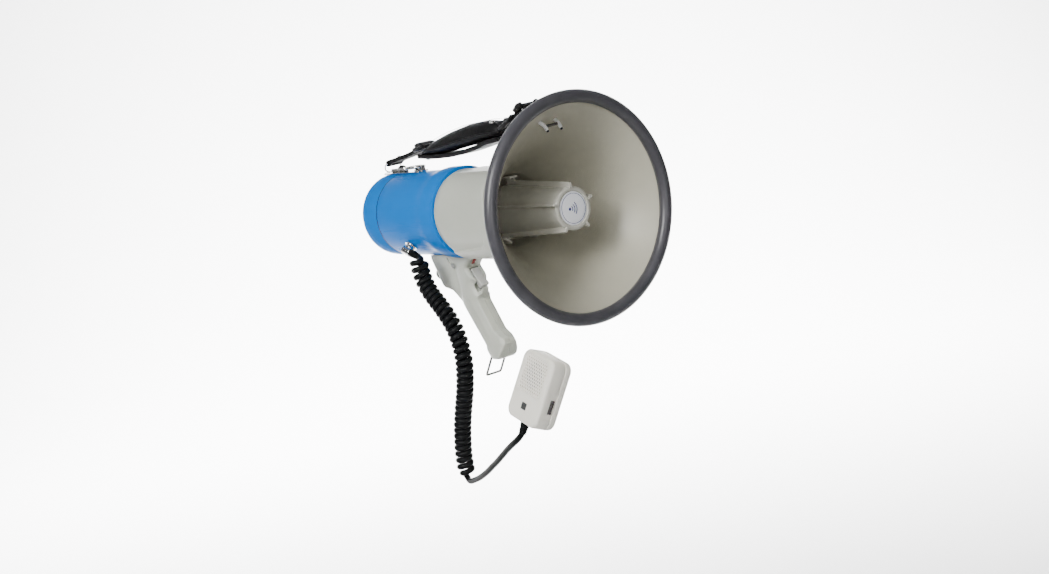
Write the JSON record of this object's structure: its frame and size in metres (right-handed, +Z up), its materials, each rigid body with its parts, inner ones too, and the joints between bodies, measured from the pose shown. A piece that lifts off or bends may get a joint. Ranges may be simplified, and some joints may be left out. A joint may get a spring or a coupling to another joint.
{
  "type": "handheld megaphone",
  "caption": "Handheld battery megaphone with flared bell, pistol grip and trigger, fist microphone on a curly cord, and carrying strap.",
  "frame": {"origin": "middle of the pistol grip, where the hand holds it", "axes": "+Y to the rear along the barrel, -Y out of the bell, +Z up to the strap, +X to the speaker's right"},
  "size_m": [0.2298, 0.3507, 0.4105],
  "materials": {
    "body_plastic": "moulded, light sheen",
    "bell_plastic": "moulded, light sheen",
    "blue_plastic": "glossy moulded",
    "bumper_rubber": "smooth",
    "mic_plastic": "fine texture",
    "black_plastic": "moulded",
    "dark_button": "moulded",
    "cord_rubber": "satin",
    "strap_webbing": "woven",
    "chrome": "polished",
    "steel": "bright",
    "trigger_plastic": "silver grey",
    "label_white": "plain printed disc",
    "ferrite": "sintered",
    "diaphragm_film": "phenolic film",
    "copper_wire": "wound",
    "circuit_board": "solder mask",
    "aluminium": "extruded",
    "capacitor_sleeve": "sleeve",
    "transformer_core": "varnished",
    "battery_sleeve": "plain sleeve",
    "carrier_plastic": "moulded"
  },
  "bodies": {
    "horn": {"front_body": "body_plastic", "handle_left_shell": "body_plastic", "handle_right_shell": "body_plastic", "horn_bell": "bell_plastic", "reflector_tube": "bell_plastic", "reflector_cap": "bell_plastic", "throat_tube": "bell_plastic", "barrel_sleeve": "blue_plastic", "bell_rim_bumper": "bumper_rubber", "mic_front_shell": "mic_plastic", "mic_rear_shell": "mic_plastic", "mic_grille": "mic_plastic", "strap_buckle_rear": "black_plastic", "strap_buckle_front": "black_plastic", "trigger_switch": "black_plastic", "mic_badge": "dark_button", "cord_coil": "cord_rubber", "cord_tail": "cord_rubber", "mic_plug_boot": "cord_rubber", "mic_cord_boot": "cord_rubber", "strap_webbing_rear": "strap_webbing", "strap_webbing_front": "strap_webbing", "strap_pad": "strap_webbing", "mic_socket": "chrome", "mic_plug_shell": "chrome", "rear_strap_bracket": "chrome", "rear_strap_wire": "chrome", "front_strap_bracket": "chrome", "front_strap_loop": "chrome", "bell_inner_clip": "chrome", "driver_top_plate": "steel", "driver_yoke": "steel", "handle_screw": "steel", "trigger_pin": "steel", "trigger_spring": "steel", "mic_capsule": "steel", "label_disc": "label_white", "driver_magnet": "ferrite", "amplifier_board": "circuit_board", "mic_board": "circuit_board", "heatsink": "aluminium", "output_capacitor": "capacitor_sleeve", "output_transformer": "transformer_core", "battery_cell_1": "battery_sleeve", "battery_cell_2": "battery_sleeve", "battery_cell_3": "battery_sleeve", "battery_cell_4": "battery_sleeve", "battery_cell_5": "battery_sleeve", "battery_cell_6": "battery_sleeve", "battery_cell_7": "battery_sleeve", "battery_cell_8": "battery_sleeve", "battery_carrier": "carrier_plastic"},
    "rear_cap": {"rear_cap": "blue_plastic"},
    "trigger": {"trigger": "trigger_plastic"},
    "talk_button": {"mic_talk_button": "dark_button"},
    "bail": {"handle_bail": "steel"},
    "knob": {"volume_knob": "black_plastic"},
    "diaphragm": {"driver_diaphragm": "diaphragm_film", "voice_coil": "copper_wire"},
    "strap_ring": {"rear_strap_ring": "chrome"}
  },
  "joints": [
    {"name": "rear_cap_slide", "type": "slide", "parent": "horn", "child": "rear_cap", "axis": [0, 1, 0], "range_m": [0, 0.06]},
    {"name": "trigger_pull", "type": "hinge", "parent": "horn", "child": "trigger", "pos_m": [0, 0.00616, 0.04848], "axis": [1, 0, 0], "range_deg": [0, 8], "stiffness_Nm_per_rad": 1.2, "springref_deg": -8.59},
    {"name": "talk_button_press", "type": "slide", "parent": "horn", "child": "talk_button", "axis": [0.093, 0.9643, 0.248], "range_m": [0, 0.0015], "stiffness_N_per_m": 600, "springref_m": -0.001},
    {"name": "bail_swing", "type": "hinge", "parent": "horn", "child": "bail", "pos_m": [0, -0.014, -0.0395], "axis": [1, 0, 0], "range_deg": [-60, 50]},
    {"name": "volume_turn", "type": "hinge", "parent": "horn", "child": "knob", "pos_m": [0, 0.0625, 0.049], "axis": [0, 0.9135, -0.4067], "range_deg": [0, 270]},
    {"name": "diaphragm_travel", "type": "slide", "parent": "horn", "child": "diaphragm", "axis": [0, 1, 0], "range_m": [-0.0004, 0.0004], "stiffness_N_per_m": 4000},
    {"name": "strap_ring_swing", "type": "hinge", "parent": "horn", "child": "strap_ring", "pos_m": [0, 0.0702, 0.1666], "axis": [1, 0, 0], "range_deg": [0, 18]}
  ]
}
